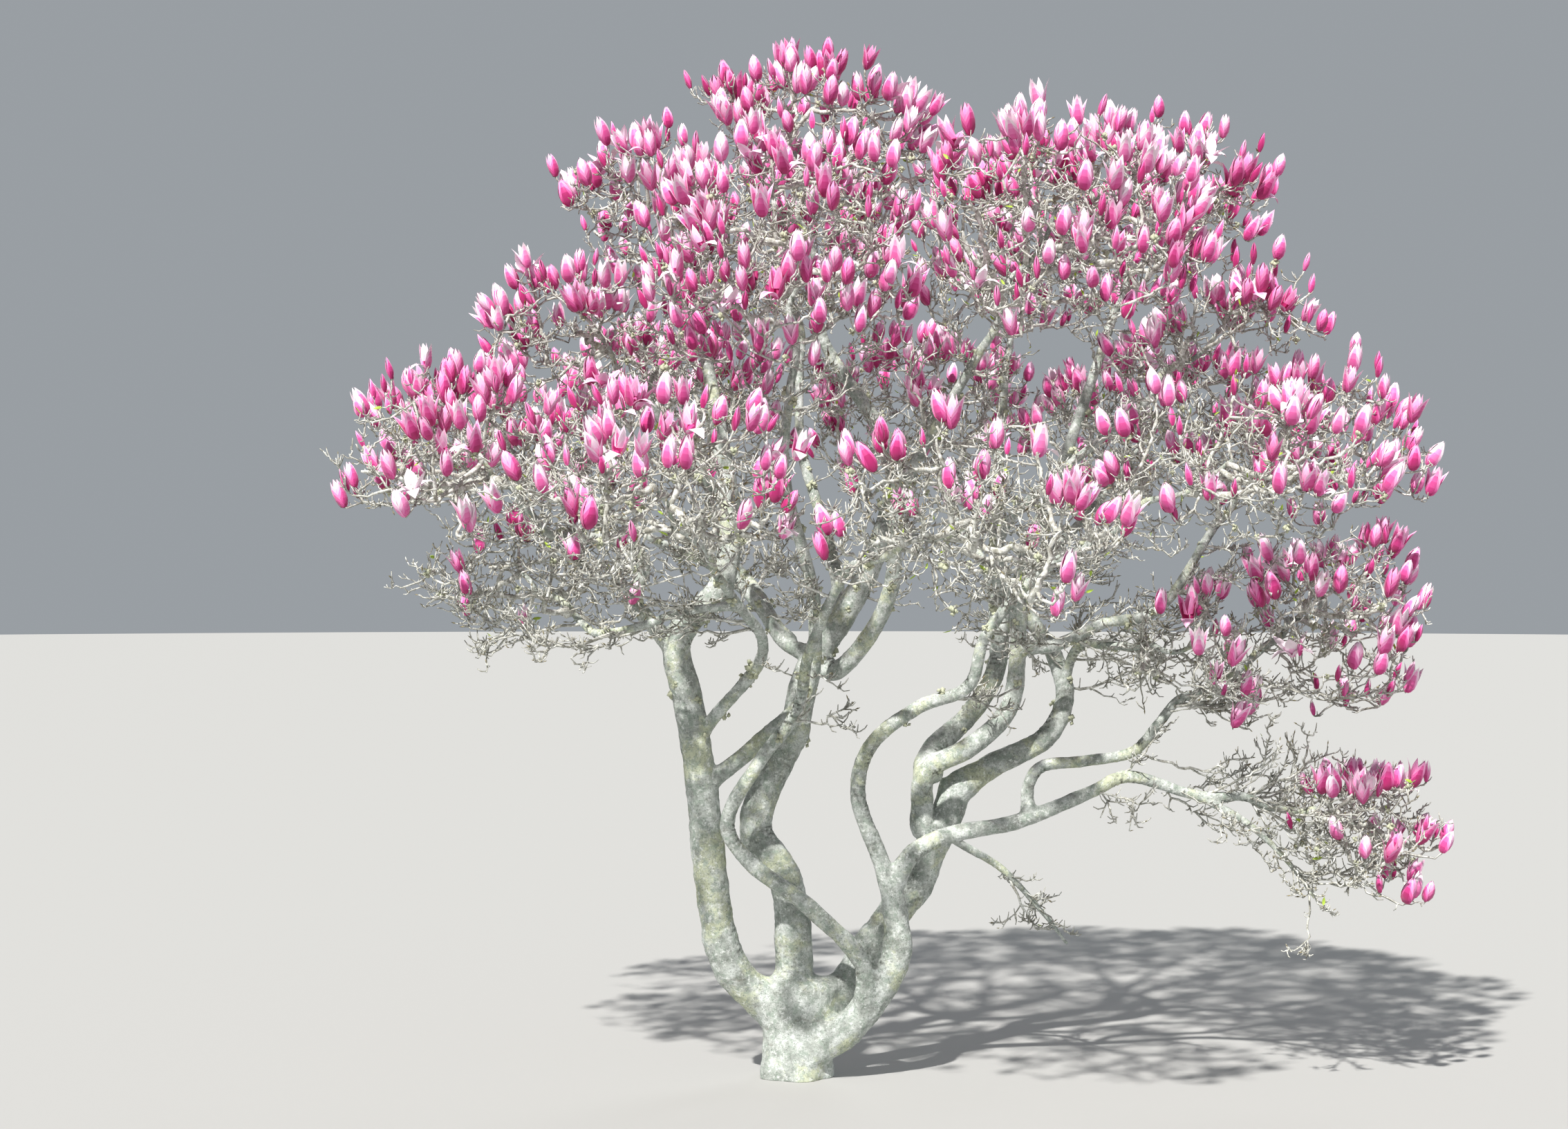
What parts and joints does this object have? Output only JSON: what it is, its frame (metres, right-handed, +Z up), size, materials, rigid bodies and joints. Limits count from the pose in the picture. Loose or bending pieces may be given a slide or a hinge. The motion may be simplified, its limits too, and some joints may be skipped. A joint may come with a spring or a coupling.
{
  "type": "magnolia tree",
  "caption": "Multi-stemmed saucer magnolia in full pink blossom before its leaves, with pale lichened limbs rising from one stump into a wide domed crown.",
  "frame": {"origin": "middle of the flat cut under the stump, at ground level", "axes": "+Z up; the pictured side faces -Y, with +X to the viewer's right"},
  "size_m": [3.7767, 3.2175, 3.6126],
  "materials": {
    "bark": "rough, lichened",
    "blossom": "soft"
  },
  "bodies": {
    "root": {"bough_back": "bark", "bough_back_left": "bark", "bough_drooping": "bark", "bough_inner_left": "bark", "bough_inner_right": "bark", "bough_left_front": "bark", "bough_left_low": "bark", "bough_left_middle": "bark", "bough_left_outer": "bark", "bough_middle_back": "bark", "bough_middle_left": "bark", "bough_middle_right": "bark", "bough_right": "bark", "bough_right_low": "bark", "crown_inner_left": "blossom", "crown_inner_right": "blossom", "crown_low_left": "blossom", "crown_right_foot": "blossom", "crown_right_low": "blossom", "crown_rim_1": "blossom", "crown_rim_2": "blossom", "crown_rim_3": "blossom", "crown_rim_4": "blossom", "crown_rim_5": "blossom", "crown_rim_6": "blossom", "crown_rim_7": "blossom", "crown_rim_8": "blossom", "crown_rim_9": "blossom", "crown_thicket": "blossom", "crown_top": "blossom", "crown_upper_1": "blossom", "crown_upper_2": "blossom", "crown_upper_3": "blossom", "crown_upper_4": "blossom", "crown_upper_5": "blossom", "crown_upper_6": "blossom", "limb_back": "bark", "limb_behind": "bark", "limb_long": "bark", "limb_long_lower": "bark", "limb_long_upper": "bark", "limb_rising": "bark", "limb_upright": "bark", "stem_back": "bark", "stem_front": "bark", "stem_left": "bark", "stem_middle": "bark", "stem_middle_upper": "bark", "stem_right": "bark", "trunk": "bark"}
  },
  "joints": []
}
